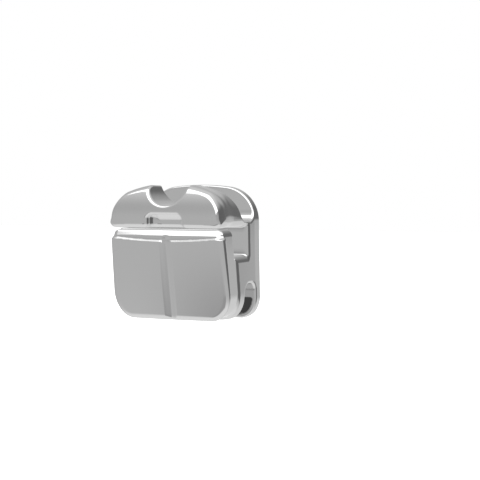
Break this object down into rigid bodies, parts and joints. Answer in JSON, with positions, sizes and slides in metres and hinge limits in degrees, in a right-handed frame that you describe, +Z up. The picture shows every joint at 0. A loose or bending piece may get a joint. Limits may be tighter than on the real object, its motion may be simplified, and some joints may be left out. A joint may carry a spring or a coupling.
{
  "type": "self-ligating orthodontic bracket",
  "caption": "Small steel bracket bonded to a tooth to hold an archwire; a door slides down its front to open the wire slot, below a tie wing with a round notch.",
  "frame": {"origin": "middle of the bonding base's back face, halfway between the body's left and right sides and between its top and bottom", "axes": "+Y out of the bonding base towards the tooth, so the door faces -Y; +Z up, from the door to the upper tie wing; +X along the archwire slot"},
  "size_m": [0.0026, 0.0023, 0.0028],
  "materials": {
    "body_steel": "tumbled and polished stainless steel",
    "door_steel": "polished stainless steel, softly satin on the two front faces",
    "spring_wire": "drawn spring wire",
    "foil_mesh": "brazed foil mesh, dull"
  },
  "bodies": {
    "body": {"bracket_body": "body_steel", "detent_spring": "spring_wire", "bonding_mesh": "foil_mesh"},
    "door": {"sliding_door": "door_steel"}
  },
  "joints": [
    {"name": "door_slide", "type": "slide", "parent": "body", "child": "door", "axis": [0, 0.1167, -0.9932], "range_m": [0, 0.0006]}
  ]
}
